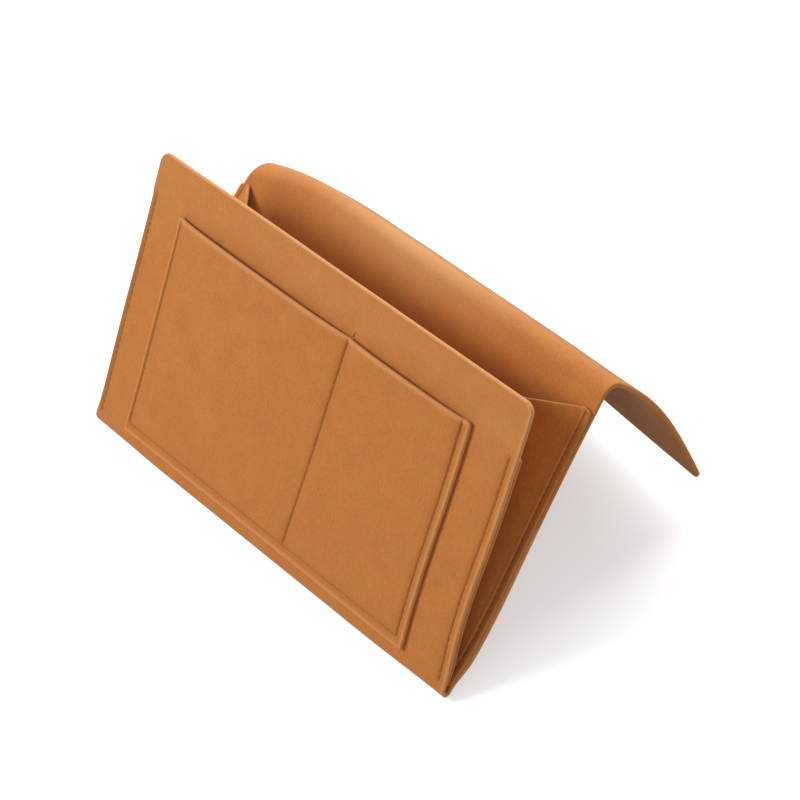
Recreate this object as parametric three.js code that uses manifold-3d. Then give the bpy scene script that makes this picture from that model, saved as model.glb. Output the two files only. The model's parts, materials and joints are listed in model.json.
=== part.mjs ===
// A felt bedside caddy: one long strip of felt that folds into a front, a back and a tuck flap.
// Two folded gussets close the pocket's sides and a sewn patch divides its front.
// Lengths are in millimetres and angles in degrees. +X is right, +Y is rearward, +Z is up.
import * as THREE from "three";
import { mergeVertices } from "three/addons/utils/BufferGeometryUtils.js";
import Module from "manifold-3d";

// Felt and clearances
const feltThickness = 3;
const seatGap = 0.3;

// The strip: front panel, bottom fold, back, ridge bend and tuck flap
const caddyWidth = 330;
const frontHeight = 181.4;
const cornerRadius = 7;
const backToRidge = 189.9;
const ridgeRadiusLeft = 7;
const ridgeRadiusRight = 8.9;
const flapFromRidge = 126.5;

// The back leans further open at the left end, and the ridge and flap follow it
const backLeanLeftAngle = 21.4;
const backLeanRightAngle = 13.7;
const ridgeTurnLeftAngle = 91.9;
const ridgeTurnRightAngle = 92.9;
const flapEarlyLeftAngle = -1.1;
const flapEarlyRightAngle = 57.7;
const flapLateLeftAngle = -2.1;
const flapLateRightAngle = -30.1;

// Near the left end the ridge is slack: it sinks, and its bend is wider
const slackWidthShare = 0.25;
const slackDrop = 10.3;
const slackRadius = 7.3;

// The pocket patch on the front
const patchLeftMargin = 32.2;
const patchRightMargin = 35.7;
const patchBottom = 11.6;
const patchHeight = 141.3;
const patchLeftSeamInset = 3;
const patchRightSeamInset = 5.8;
const patchBottomSeamInset = 6.1;
const dividerTopX = 26.6;
const dividerBottomX = 20.5;

// The folded gussets, of thinner felt
const gussetThickness = 2;
const gussetHalfAngle = 20;
const gussetFoldInset = 6.5;
const gussetBottomReach = 2.5;
const gussetFrontTopInsetLeft = 24;
const gussetFrontTopInsetRight = 31.4;
const gussetRearTopInsetLeft = 2.2;
const gussetRearTopInsetRight = 9.2;
const creaseInnerRadius = 0.5;
const gussetSeamInset = 4.5;

// Sewing thread and the groove that it draws into the felt
const stitchLength = 4.5;
const seamEndInset = 2;
const stitchRise = 0.3;
const threadWidth = 0.9;
const threadHeight = 0.7;
const grooveWidth = 1.5;
const grooveDepth = 0.9;
const cutOverrun = 1;

// Numbers of facets
const stripColumns = 16;
const foldRows = 12;
const backRows = 8;
const ridgeRows = 8;
const flapRows = 10;
const cornerRows = 4;
const creaseRows = 6;
const flapSteps = 24;

const wasm = await Module();
wasm.setup();

const rad = THREE.MathUtils.degToRad;
const mix = THREE.MathUtils.lerp;
const half = (size) => size / 2;

// Places are written in the front panel's own frame: x across, y up the panel's outer face
// and z out of it, so the pocket lies at negative z.
const halfWidth = half(caddyWidth);

// The bottom fold is as tight as the gussets inside it allow.
const foldInnerRadius = seatGap + gussetThickness + creaseInnerRadius;
const foldRadius = foldInnerRadius + half(feltThickness);
const foldOuterRadius = foldInnerRadius + feltThickness;
const foldCentre = new THREE.Vector3(0, foldOuterRadius, -foldOuterRadius);

// A heading turns from straight up the panel, at zero, towards the rear.
const along = (heading) => new THREE.Vector3(0, Math.cos(heading), -Math.sin(heading));
const outward = (heading) => new THREE.Vector3(0, -Math.sin(heading), -Math.cos(heading));

// The strip's bends and lengths at one place across it, where zero is left and one is right.
function endsAt(across) {
  const slack = Math.max(0, 1 - across / slackWidthShare) ** 2;
  const radius = mix(ridgeRadiusLeft, ridgeRadiusRight, across) + slackRadius * slack;
  const lean = rad(mix(backLeanLeftAngle, backLeanRightAngle, across));
  const turn = rad(mix(ridgeTurnLeftAngle, ridgeTurnRightAngle, across));
  return {
    lean,
    turned: lean + turn,
    early: rad(mix(flapEarlyLeftAngle, flapEarlyRightAngle, across)),
    late: rad(mix(flapLateLeftAngle, flapLateRightAngle, across)),
    radius,
    fold: foldRadius * (Math.PI - lean),
    back: backToRidge - half(radius * turn) - slackDrop * slack,
    ridge: radius * turn,
    flap: flapFromRidge - half(radius * turn) + slackDrop * slack,
  };
}

// A place on the strip: a share of one stretch's length, raised from the felt's middle towards
// its outer face, which is the fold's underside, the back's rear and the flap's underside.
function stripPlace(x, stretch, share, raised) {
  const ends = endsAt(half(1) + x / caddyWidth);
  const heading = {
    fold: mix(Math.PI, ends.lean, share),
    back: ends.lean,
    ridge: mix(ends.lean, ends.turned, share),
    flap: ends.turned + ends.early * share + ends.late * share ** 2,
  }[stretch];
  const place = foldCentre.clone();
  if (stretch === "fold") {
    place.addScaledVector(outward(heading), foldRadius + raised);
    place.x = x;
    return place;
  }
  place.addScaledVector(outward(ends.lean), foldRadius);
  place.addScaledVector(along(ends.lean), ends.back * (stretch === "back" ? share : 1));
  if (stretch !== "back") {
    const turned = stretch === "ridge" ? heading : ends.turned;
    place.addScaledVector(outward(ends.lean), ends.radius);
    place.addScaledVector(outward(turned), -ends.radius);
  }
  if (stretch === "flap") {
    const step = (share * ends.flap) / flapSteps;
    for (let i = 0; i < flapSteps; i++) {
      const middle = (share * (i + half(1))) / flapSteps;
      const bent = ends.turned + ends.early * middle + ends.late * middle ** 2;
      place.addScaledVector(along(bent), step);
    }
  }
  place.addScaledVector(outward(heading), raised);
  place.x = x;
  return place;
}

// A closed body between two grids of places that share their rows and columns.
function slab(topRows, bottomRows) {
  const rows = topRows.length;
  const columns = topRows[0].length;
  const positions = [topRows, bottomRows].flat(2).flatMap((place) => place.toArray());
  const index = [];
  const quad = (a, b, c, d) => index.push(a, b, c, a, c, d);
  const top = (row, column) => row * columns + column;
  const bottom = (row, column) => rows * columns + top(row, column);
  for (let row = 0; row + 1 < rows; row++) {
    for (let column = 0; column + 1 < columns; column++) {
      quad(top(row, column), top(row, column + 1), top(row + 1, column + 1), top(row + 1, column));
      quad(
        bottom(row, column),
        bottom(row + 1, column),
        bottom(row + 1, column + 1),
        bottom(row, column + 1),
      );
    }
    const last = columns - 1;
    quad(top(row + 1, 0), bottom(row + 1, 0), bottom(row, 0), top(row, 0));
    quad(top(row, last), bottom(row, last), bottom(row + 1, last), top(row + 1, last));
  }
  for (let column = 0; column + 1 < columns; column++) {
    const last = rows - 1;
    quad(top(0, column), bottom(0, column), bottom(0, column + 1), top(0, column + 1));
    quad(
      top(last, column + 1),
      bottom(last, column + 1),
      bottom(last, column),
      top(last, column),
    );
  }
  const geometry = new THREE.BufferGeometry();
  geometry.setAttribute("position", new THREE.Float32BufferAttribute(positions, 3));
  geometry.setIndex(index);
  return facingOut(geometry);
}

// The same geometry with its faces turned outwards.
function facingOut(geometry) {
  const place = geometry.attributes.position;
  const index = geometry.index;
  const [a, b, c] = [new THREE.Vector3(), new THREE.Vector3(), new THREE.Vector3()];
  let volume = 0;
  for (let i = 0; i < index.count; i += 3) {
    a.fromBufferAttribute(place, index.getX(i));
    b.fromBufferAttribute(place, index.getX(i + 1));
    c.fromBufferAttribute(place, index.getX(i + 2));
    volume += a.dot(b.cross(c));
  }
  if (volume < 0) geometry.setIndex([...index.array].reverse());
  return geometry;
}

// Evenly spaced shares from one value to another.
const spread = (from, to, count) =>
  Array.from({ length: count + 1 }, (_, i) => mix(from, to, i / count));

// One stretch of the strip as a body of felt, less a little at each end for the seats.
function stripBody(stretch, rows, rounded) {
  const trim = half(seatGap);
  const tail = rounded ? cornerRadius : trim;
  const stations = spread(0, 1, rows).map((run) => ({ run, past: 0, side: halfWidth }));
  if (rounded)
    for (const turn of spread(0, half(Math.PI), cornerRows).slice(1))
      stations.push({
        run: 1,
        past: cornerRadius * Math.sin(turn),
        side: halfWidth - cornerRadius * (1 - Math.cos(turn)),
      });
  const face = (raised) =>
    stations.map(({ run, past, side }) =>
      spread(-side, side, stripColumns).map((x) => {
        const length = endsAt(half(1) + x / caddyWidth)[stretch];
        const reach = mix(trim, length - tail, run) + past;
        return stripPlace(x, stretch, reach / length, raised);
      }),
    );
  return slab(face(half(feltThickness)), face(-half(feltThickness)));
}

// A flat sheet from an outline, its thickness running from low to high along z.
function sheet(outline, low, high) {
  const geometry = new THREE.ExtrudeGeometry(outline, {
    depth: high - low,
    bevelEnabled: false,
    curveSegments: cornerRows,
  });
  return geometry.translate(0, 0, low);
}

// A closed solid from a geometry, and a geometry from a solid.
function solidOf(geometry) {
  const bare = geometry.clone();
  bare.deleteAttribute("normal");
  bare.deleteAttribute("uv");
  const merged = mergeVertices(bare);
  return new wasm.Manifold(
    new wasm.Mesh({
      numProp: 3,
      vertProperties: merged.attributes.position.array,
      triVerts: new Uint32Array(merged.index.array),
    }),
  );
}

function cutFrom(geometry, cutters) {
  let solid = solidOf(geometry);
  for (const cutter of cutters) solid = solid.subtract(solidOf(cutter));
  const mesh = solid.getMesh();
  const result = new THREE.BufferGeometry();
  result.setAttribute("position", new THREE.Float32BufferAttribute(mesh.vertProperties, 3));
  result.setIndex([...mesh.triVerts]);
  return result;
}

// A seam's path is a row of stations, each with its place on the felt's face, the direction
// across the seam and the direction out of the face. At a corner the direction across is longer.
function seamPath(corners, out) {
  const stations = [];
  for (let i = 0; i + 1 < corners.length; i++) {
    const stitches = Math.round(corners[i].distanceTo(corners[i + 1]) / stitchLength);
    const start = stations.length ? 1 : 0;
    for (let k = start; k <= stitches * 2; k++)
      stations.push({
        place: corners[i].clone().lerp(corners[i + 1], half(k) / stitches),
        corner: k === stitches * 2,
      });
  }
  return stations.map((station, i) => {
    const before = stations[Math.max(i - 1, 0)].place;
    const after = stations[Math.min(i + 1, stations.length - 1)].place;
    const backward = station.place.clone().sub(before).normalize();
    const forward = after.clone().sub(station.place).normalize();
    if (i === 0) backward.copy(forward);
    if (i === stations.length - 1) forward.copy(backward);
    const middle = backward.clone().add(forward).normalize();
    const side = middle.clone().cross(out).normalize();
    return { ...station, side: side.divideScalar(middle.dot(forward)), out };
  });
}

// A groove's cutter along a seam, from its floor to just over the felt's face.
function grooveCutter(stations) {
  const ends = stations.filter((s, i) => i === 0 || s.corner || i === stations.length - 1);
  const row = (height) => (s) =>
    [-half(grooveWidth), half(grooveWidth)].map((reach) =>
      s.place.clone().addScaledVector(s.side, reach).addScaledVector(s.out, height),
    );
  return slab(ends.map(row(cutOverrun)), ends.map(row(-grooveDepth)));
}

// A seam's thread: flat below, with a ridge on top that dips where each stitch enters the felt.
function threadStrand(stations) {
  const inner = stations.slice(1, -1);
  const low = seatGap - grooveDepth;
  const rings = inner.map((s, i) => {
    const crest = low + threadHeight - (i % 2 ? 0 : stitchRise);
    return [
      s.place.clone().addScaledVector(s.side, -half(threadWidth)).addScaledVector(s.out, low),
      s.place.clone().addScaledVector(s.out, crest),
      s.place.clone().addScaledVector(s.side, half(threadWidth)).addScaledVector(s.out, low),
    ];
  });
  const index = [0, 2, 1];
  for (let ring = 0; ring + 1 < rings.length; ring++)
    for (const [from, to] of [
      [0, 1],
      [1, 2],
      [2, 0],
    ]) {
      const near = ring * 3;
      const far = near + 3;
      index.push(near + from, near + to, far + to, near + from, far + to, far + from);
    }
  const last = (rings.length - 1) * 3;
  index.push(last, last + 1, last + 2);
  const geometry = new THREE.BufferGeometry();
  const positions = rings.flat().flatMap((place) => place.toArray());
  geometry.setAttribute("position", new THREE.Float32BufferAttribute(positions, 3));
  geometry.setIndex(index);
  return facingOut(geometry);
}

// The pieces hang in a group that is turned as a whole to stand on the fold and the flap.
const standing = new THREE.Group();
const feltColour = 0xc48046;
const threadColour = 0xa5632f;

function addPiece(name, geometry, colour) {
  const material = new THREE.MeshStandardMaterial({ color: colour, metalness: 0 });
  material.roughness = colour === feltColour ? 0.95 : 0.7;
  const mesh = new THREE.Mesh(geometry, material);
  mesh.name = name;
  standing.add(mesh);
  return mesh;
}

// The pocket patch's edges and its seams: a seam round three sides and one that divides it
const patchLeft = patchLeftMargin - halfWidth;
const patchRight = halfWidth - patchRightMargin;
const patchTop = patchBottom + patchHeight;
const patchFront = seatGap + feltThickness;
const seamTop = patchTop - seamEndInset;
const seamBottom = patchBottom + patchBottomSeamInset;
const dividerBottom = seamBottom + grooveWidth;
const patchSeamCorners = [
  [patchLeft + patchLeftSeamInset, seamTop],
  [patchLeft + patchLeftSeamInset, seamBottom],
  [patchRight - patchRightSeamInset, seamBottom],
  [patchRight - patchRightSeamInset, seamTop],
];
const dividerCorners = [
  [dividerTopX, seamTop],
  [dividerBottomX, dividerBottom],
];
const towardsViewer = new THREE.Vector3(0, 0, 1);
const towardsPocket = new THREE.Vector3(0, 0, -1);
const onFace = (corners, z) => corners.map(([x, y]) => new THREE.Vector3(x, y, z));
const patchSeam = seamPath(onFace(patchSeamCorners, patchFront), towardsViewer);
const dividerSeam = seamPath(onFace(dividerCorners, patchFront), towardsViewer);
const patchSeamBack = seamPath(onFace(patchSeamCorners, -feltThickness), towardsPocket);
const dividerSeamBack = seamPath(onFace(dividerCorners, -feltThickness), towardsPocket);

const patchOutline = new THREE.Shape();
patchOutline.moveTo(patchLeft, patchBottom);
patchOutline.lineTo(patchRight, patchBottom);
patchOutline.lineTo(patchRight, patchTop);
patchOutline.lineTo(patchLeft, patchTop);
addPiece(
  "pocket_patch",
  cutFrom(sheet(patchOutline, seatGap, patchFront), [
    grooveCutter(patchSeam),
    grooveCutter(dividerSeam),
  ]),
  feltColour,
);
addPiece("thread_patch_front", threadStrand(patchSeam), threadColour);
addPiece("thread_divider_front", threadStrand(dividerSeam), threadColour);
addPiece("thread_patch_back", threadStrand(patchSeamBack), threadColour);
addPiece("thread_divider_back", threadStrand(dividerSeamBack), threadColour);

// Each gusset is one piece of felt folded inwards. Its two halves swing between a seam on the
// front panel and a seam on the back, and all their fold lines meet at the bottom fold's centre.
const flangeLow = -feltThickness - seatGap - gussetThickness;
const flangeHigh = -feltThickness - seatGap;
const flangeInner = halfWidth - gussetFoldInset + half(seatGap);
const seamX = halfWidth - gussetSeamInset;
const spreadAngle = rad(gussetHalfAngle);
const seamReaches = (reach) => [gussetBottomReach + seamEndInset, reach - seamEndInset];

function gussetFrame(side) {
  const apex = new THREE.Vector3(side * (halfWidth - gussetFoldInset), 0, 0);
  const lean = endsAt(half(1) + apex.x / caddyWidth).lean;
  apex.add(foldCentre);
  const middle = along(half(lean));
  const inward = new THREE.Vector3(-side, 0, 0);
  const tilt = Math.acos(Math.cos(spreadAngle) / Math.cos(half(lean)));
  const crease = middle
    .clone()
    .multiplyScalar(Math.cos(tilt))
    .addScaledVector(inward, Math.sin(tilt));
  return { apex, lean, crease, front: along(0), rear: along(lean) };
}

// A half's own directions: across it from the crease to its seam, and out towards its panel.
function halfDirections(frame, end) {
  const across = frame[end].clone().projectOnPlane(frame.crease).normalize();
  const out = frame.crease.clone().cross(across).normalize();
  const panel = outward(end === "front" ? Math.PI : frame.lean);
  return { across, out: out.dot(panel) < 0 ? out.negate() : out };
}

// One half: a flat piece from beside the crease to beside its seam's fold line.
function gussetHalf(frame, end, topAtSeam, topAtCrease) {
  const { across, out } = halfDirections(frame, end);
  const point = (reach, aside, height) =>
    frame.apex
      .clone()
      .addScaledVector(frame.crease, reach)
      .addScaledVector(across, aside)
      .addScaledVector(out, height);
  const atSeam = (reach) =>
    reach * Math.tan(spreadAngle) - half(seatGap) / Math.cos(spreadAngle);
  const face = (height) => [
    [point(gussetBottomReach, half(seatGap), height), point(topAtCrease, half(seatGap), height)],
    [
      point(gussetBottomReach, atSeam(gussetBottomReach), height),
      point(topAtSeam, atSeam(topAtSeam), height),
    ],
  ];
  return slab(face(creaseInnerRadius + gussetThickness), face(creaseInnerRadius));
}

// The bend that joins the two halves, wrapped round the crease line.
function gussetCrease(frame, top) {
  const front = halfDirections(frame, "front");
  const rear = halfDirections(frame, "rear");
  const inward = front.across.clone().add(rear.across).negate().normalize();
  const aside = inward.clone().cross(frame.crease).normalize();
  if (aside.dot(front.out) < 0) aside.negate();
  const trim = half(seatGap) / (creaseInnerRadius + half(gussetThickness));
  const sweep = inward.angleTo(front.out) - trim;
  const face = (radius) =>
    spread(-sweep, sweep, creaseRows).map((turn) =>
      [gussetBottomReach, top].map((reach) =>
        frame.apex
          .clone()
          .addScaledVector(frame.crease, reach)
          .addScaledVector(inward, radius * Math.cos(turn))
          .addScaledVector(aside, radius * Math.sin(turn)),
      ),
    );
  return slab(face(creaseInnerRadius + gussetThickness), face(creaseInnerRadius));
}

// A place on the back at a reach up from the fold's centre.
function backPlace(x, reach, raised) {
  return stripPlace(x, "back", reach / endsAt(half(1) + x / caddyWidth).back, raised);
}

const frontGrooves = [];
const backGrooves = [];
const pivots = {};
for (const [name, side, frontTopInset, rearTopInset] of [
  ["left", -1, gussetFrontTopInsetLeft, gussetRearTopInsetLeft],
  ["right", 1, gussetFrontTopInsetRight, gussetRearTopInsetRight],
]) {
  const frame = gussetFrame(side);
  const frontReach = frontHeight - foldOuterRadius - frontTopInset;
  const rearReach = endsAt(half(1) + half(side)).back - rearTopInset;
  const [bottom, frontTop] = seamReaches(frontReach);
  const rearTop = seamReaches(rearReach)[1];
  const seamPlace = (reach, z) => new THREE.Vector3(side * seamX, foldOuterRadius + reach, z);

  // The flange sewn flat to the inside of the front panel
  const flange = new THREE.Shape();
  flange.moveTo(side * flangeInner, foldOuterRadius + gussetBottomReach);
  flange.lineTo(side * halfWidth, foldOuterRadius + gussetBottomReach);
  flange.lineTo(side * halfWidth, foldOuterRadius + frontReach);
  flange.lineTo(side * flangeInner, foldOuterRadius + frontReach);
  const innerSeam = seamPath(
    [seamPlace(bottom, flangeLow), seamPlace(frontTop, flangeLow)],
    towardsPocket,
  );
  const outerSeam = seamPath([seamPlace(bottom, 0), seamPlace(frontTop, 0)], towardsViewer);
  addPiece(
    `gusset_${name}_front_flange`,
    cutFrom(sheet(flange, flangeLow, flangeHigh), [grooveCutter(innerSeam)]),
    feltColour,
  );
  frontGrooves.push(grooveCutter(outerSeam));
  addPiece(`thread_${name}_front_outer`, threadStrand(outerSeam), threadColour);
  addPiece(`thread_${name}_front_inner`, threadStrand(innerSeam), threadColour);

  // The flange sewn to the inside of the back, which it follows along its twist
  const low = -half(feltThickness) - seatGap - gussetThickness;
  const high = -half(feltThickness) - seatGap;
  const flangeFace = (raised) =>
    spread(gussetBottomReach, rearReach, backRows).map((reach) =>
      [flangeInner, halfWidth].map((x) => backPlace(side * x, reach, raised)),
    );
  const lean = endsAt(half(1) + (side * seamX) / caddyWidth).lean;
  const rearSeam = (raised, out) =>
    seamPath([bottom, rearTop].map((reach) => backPlace(side * seamX, reach, raised)), out);
  const rearInner = rearSeam(low, outward(lean).negate());
  const rearOuter = rearSeam(half(feltThickness), outward(lean));
  addPiece(
    `gusset_${name}_rear_flange`,
    cutFrom(slab(flangeFace(high), flangeFace(low)), [grooveCutter(rearInner)]),
    feltColour,
  );
  backGrooves.push(grooveCutter(rearOuter));
  addPiece(`thread_${name}_rear_inner`, threadStrand(rearInner), threadColour);
  addPiece(`thread_${name}_rear_outer`, threadStrand(rearOuter), threadColour);

  // The two halves and the crease between them
  const [topAtFront, topAtRear] = [frontReach, rearReach].map(
    (reach) => reach * Math.cos(spreadAngle),
  );
  const halves = { front: topAtFront, rear: topAtRear };
  for (const [end, top] of Object.entries(halves))
    addPiece(`gusset_${name}_${end}`, gussetHalf(frame, end, top, topAtRear), feltColour);
  addPiece(`gusset_${name}_crease`, gussetCrease(frame, topAtRear), feltColour);
  pivots[`gusset_${name}_swing`] = [frame.apex, frame.rear];
  pivots[`gusset_${name}_fold`] = [frame.apex, frame.crease];
}

// The front panel, with rounded corners at the pocket's mouth
const panelBottom = foldOuterRadius + half(seatGap);
const panel = new THREE.Shape();
panel.moveTo(-halfWidth, panelBottom);
panel.lineTo(halfWidth, panelBottom);
panel.lineTo(halfWidth, frontHeight - cornerRadius);
panel.absarc(halfWidth - cornerRadius, frontHeight - cornerRadius, cornerRadius, 0, half(Math.PI));
panel.lineTo(cornerRadius - halfWidth, frontHeight);
panel.absarc(
  cornerRadius - halfWidth,
  frontHeight - cornerRadius,
  cornerRadius,
  half(Math.PI),
  Math.PI,
);
addPiece(
  "front_panel",
  cutFrom(sheet(panel, -feltThickness, 0), [
    ...frontGrooves,
    grooveCutter(patchSeamBack),
    grooveCutter(dividerSeamBack),
  ]),
  feltColour,
);

// The rest of the strip, in the order in which it runs on from the front panel
addPiece("bottom_fold", stripBody("fold", foldRows), feltColour);
addPiece("back_panel", cutFrom(stripBody("back", backRows), backGrooves), feltColour);
addPiece("ridge_bend", stripBody("ridge", ridgeRows), feltColour);
const flap = addPiece("tuck_flap", stripBody("flap", flapRows, true), feltColour);

// The lines that the felt turns about
const ridgeLeft = stripPlace(slackWidthShare * caddyWidth - halfWidth, "ridge", half(1), 0);
const ridgeRight = stripPlace(halfWidth, "ridge", half(1), 0);
pivots.front_open = [foldCentre, new THREE.Vector3(1, 0, 0)];
pivots.flap_fold = [ridgeLeft, ridgeRight.clone().sub(ridgeLeft).normalize()];

// The caddy leans back until the flap's lowest corner is level with the underside of the fold.
const corners = flap.geometry.attributes.position;
let leanBack = Math.PI;
for (let i = 0; i < corners.count; i++) {
  const up = corners.getY(i) - foldCentre.y;
  const rearward = foldCentre.z - corners.getZ(i);
  const touching = Math.acos(-foldOuterRadius / Math.hypot(up, rearward));
  leanBack = Math.min(leanBack, touching - Math.atan2(rearward, up));
}
standing.rotation.x = half(Math.PI) - leanBack;

// The origin is on the ground, under the middle of the whole caddy.
const caddy = new THREE.Group();
caddy.add(standing);
caddy.updateMatrixWorld(true);
const box = new THREE.Box3().setFromObject(caddy, true);
const boxCentre = box.getCenter(new THREE.Vector3());
standing.position.set(-boxCentre.x, -boxCentre.y, -box.min.z);
caddy.updateMatrixWorld(true);

// Each pivot as a place on its line and the line's direction, standing as the pieces stand
caddy.userData.pivots = Object.fromEntries(
  Object.entries(pivots).map(([name, [place, direction]]) => [
    name,
    {
      place: place.clone().applyMatrix4(standing.matrixWorld),
      direction: direction.clone().transformDirection(standing.matrixWorld),
    },
  ]),
);

export default caddy;
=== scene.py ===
# %% [markdown]
# # A felt bedside caddy
# One strip of thick wool felt makes the front panel, the bottom fold, the back, the ridge bend
# and the tuck flap that goes under a mattress. Two folded gussets close the pocket's sides,
# and a sewn patch makes two flat pockets on the front.
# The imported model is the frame: every piece made here stands where its solids stand.

import json
import math

import bpy
import numpy as np
from mathutils import Matrix, Vector


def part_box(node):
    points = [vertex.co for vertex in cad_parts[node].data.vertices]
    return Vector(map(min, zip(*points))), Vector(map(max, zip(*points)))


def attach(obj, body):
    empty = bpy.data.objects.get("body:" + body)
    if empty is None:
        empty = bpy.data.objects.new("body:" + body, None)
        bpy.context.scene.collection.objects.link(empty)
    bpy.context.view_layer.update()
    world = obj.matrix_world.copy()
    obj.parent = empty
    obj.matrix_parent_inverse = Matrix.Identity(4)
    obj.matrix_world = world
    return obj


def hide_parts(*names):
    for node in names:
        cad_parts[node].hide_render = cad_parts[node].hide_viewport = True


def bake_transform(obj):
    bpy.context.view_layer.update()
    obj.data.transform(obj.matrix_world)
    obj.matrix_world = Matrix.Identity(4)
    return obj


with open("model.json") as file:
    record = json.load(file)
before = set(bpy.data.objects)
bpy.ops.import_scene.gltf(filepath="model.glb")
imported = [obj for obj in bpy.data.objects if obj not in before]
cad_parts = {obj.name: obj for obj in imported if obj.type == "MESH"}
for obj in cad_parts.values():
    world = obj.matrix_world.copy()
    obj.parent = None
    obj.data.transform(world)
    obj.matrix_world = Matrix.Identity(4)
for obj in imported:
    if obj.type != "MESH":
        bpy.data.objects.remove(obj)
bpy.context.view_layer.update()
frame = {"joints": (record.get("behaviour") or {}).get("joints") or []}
scene = bpy.context.scene

# %% [markdown]
# ## Camera
# The camera was solved from the straight edges of the front panel, the patch and the seams in
# the picture, with the picture's middle as the optical axis: a long lens, 1.73 m away, to the
# right of the front and above it, rolled so that the panel's top runs steeply down.

# %% Place the camera
CAMERA_PLACE = Vector((1.0896, -0.6723, 1.2420))
CAMERA_AIM = Vector((0.0122, -0.0111, 0.0540))
CAMERA_ROLL = math.radians(12.306)

lens = bpy.data.cameras.new("photo_camera")
lens.lens, lens.sensor_width, lens.clip_start = 135, 36, 0.05
camera = bpy.data.objects.new("photo_camera", lens)
aim = CAMERA_AIM - CAMERA_PLACE
turn = aim.to_track_quat("-Z", "Y").to_matrix() @ Matrix.Rotation(-CAMERA_ROLL, 3, "Z")
camera.matrix_world = Matrix.Translation(CAMERA_PLACE) @ turn.to_4x4()
scene.collection.objects.link(camera)
scene.camera = camera
print("camera:", lens.lens, "mm lens,", round(aim.length, 3), "m away")

# %% [markdown]
# ## The strip as one surface
# All the felt is described in the front panel's own frame, in millimetres: x to the right,
# u up the panel's outer face, and n through the panel towards the rear. A heading of zero
# runs up the panel, and it grows as the strip turns to the rear.
# The strip is one long sheet, so one function gives any place on it: x across it, and s along
# it from the top edge of the front panel. It runs down the panel, round the bottom fold as an
# arc, straight up the back, over the ridge as another arc, and down the flap as a curve whose
# heading is a quadratic of the share of its length. The back's lean, the ridge's turn and the
# flap's curve change evenly from the left end to the right, which twists the sheet; near the
# left end the ridge also sinks and widens. The left side is written -1 and the right one 1.

# %% Sizes of the strip
SIDES = {"left": -1, "right": 1}
THICK, THIN = 3.0, 2.0
HALF_THICK = THICK / 2
GAP = 0.3
HALF_WIDTH = 165.0
FRONT_HEIGHT = 181.4
CORNER = 7.0
FOLD_RADIUS = 4.3
FOLD_CENTRE = 5.8
LEAN = np.radians([21.4, 13.7])
RIDGE_RADIUS = [7.0, 8.9]
RIDGE_TURN = np.radians([91.9, 92.9])
BACK_TO_RIDGE = 189.9
FLAP_FROM_RIDGE = 126.5
FLAP_EARLY = np.radians([-1.1, 57.7])
FLAP_LATE = np.radians([-2.1, -30.1])
FLAP_STEPS = 24
SLACK_SHARE, SLACK_DROP, SLACK_RADIUS = 0.25, 10.3, 7.3
STANCE = 1.01714944
FRAME_ORIGIN = np.array([0.0, -0.12101111, 0.00391604])


def across(ends, x):
    """A value that changes evenly from the strip's left end to its right end."""
    t = 0.5 + x / (2 * HALF_WIDTH)
    return ends[0] * (1 - t) + ends[1] * t


def strip_lengths(x):
    """Where each stretch of the strip ends, as distances along it, at a place across it."""
    slack = np.clip(1 - (0.5 + x / (2 * HALF_WIDTH)) / SLACK_SHARE, 0, None) ** 2
    lean = across(LEAN, x)
    radius = across(RIDGE_RADIUS, x) + SLACK_RADIUS * slack
    turn = across(RIDGE_TURN, x)
    front = np.full_like(lean, FRONT_HEIGHT - FOLD_CENTRE)
    fold = front + FOLD_RADIUS * (math.pi - lean)
    back = fold + BACK_TO_RIDGE - radius * turn / 2 - SLACK_DROP * slack
    ridge = back + radius * turn
    flap = ridge + FLAP_FROM_RIDGE - radius * turn / 2 + SLACK_DROP * slack
    return dict(lean=lean, radius=radius, turn=turn,
                front=front, fold=fold, back=back, ridge=ridge, flap=flap)


def strip_place(x, s, raised):
    """Local places (x, u, n) on the strip, raised from the felt's middle to its outer face.

    With heading h, the strip runs along (cos h, sin h) in (u, n), and its outer face looks
    along (-sin h, cos h). The arcs are written as a centre plus the outward direction times
    a radius, and the flap as a sum of short steps.
    """
    x, s, raised = np.broadcast_arrays(np.asarray(x, float), s, raised)
    ends = strip_lengths(x)
    lean, radius, turned = ends["lean"], ends["radius"], ends["lean"] + ends["turn"]

    def within(start, end):
        return np.clip(s - ends[start], 0, ends[end] - ends[start])

    on_fold, on_back = within("front", "fold"), within("fold", "back")
    on_ridge, flap_length = within("back", "ridge"), ends["flap"] - ends["ridge"]
    on_flap = np.clip(s - ends["ridge"], 0, None)
    fold_heading = math.pi - on_fold / FOLD_RADIUS
    ridge_heading = lean + on_ridge / radius
    # down the front panel, and round the fold
    u = FOLD_CENTRE - FOLD_RADIUS * np.sin(fold_heading) + np.clip(ends["front"] - s, 0, None)
    n = FOLD_CENTRE + FOLD_RADIUS * np.cos(fold_heading)
    # up the back, and over the ridge
    u = u + on_back * np.cos(lean) + radius * (np.sin(ridge_heading) - np.sin(lean))
    n = n + on_back * np.sin(lean) - radius * (np.cos(ridge_heading) - np.cos(lean))
    # down the flap
    early, late = across(FLAP_EARLY, x), across(FLAP_LATE, x)

    def flap_heading(reached):
        return turned + early * reached + late * reached**2

    for step in range(FLAP_STEPS):
        bent = flap_heading(on_flap / flap_length * (step + 0.5) / FLAP_STEPS)
        u = u + np.cos(bent) * on_flap / FLAP_STEPS
        n = n + np.sin(bent) * on_flap / FLAP_STEPS
    heading = np.where(s > ends["ridge"], flap_heading(on_flap / flap_length), ridge_heading)
    heading = np.where(s < ends["fold"], fold_heading, heading)
    return np.stack([x, u - np.sin(heading) * raised, n + np.cos(heading) * raised], -1)


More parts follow.
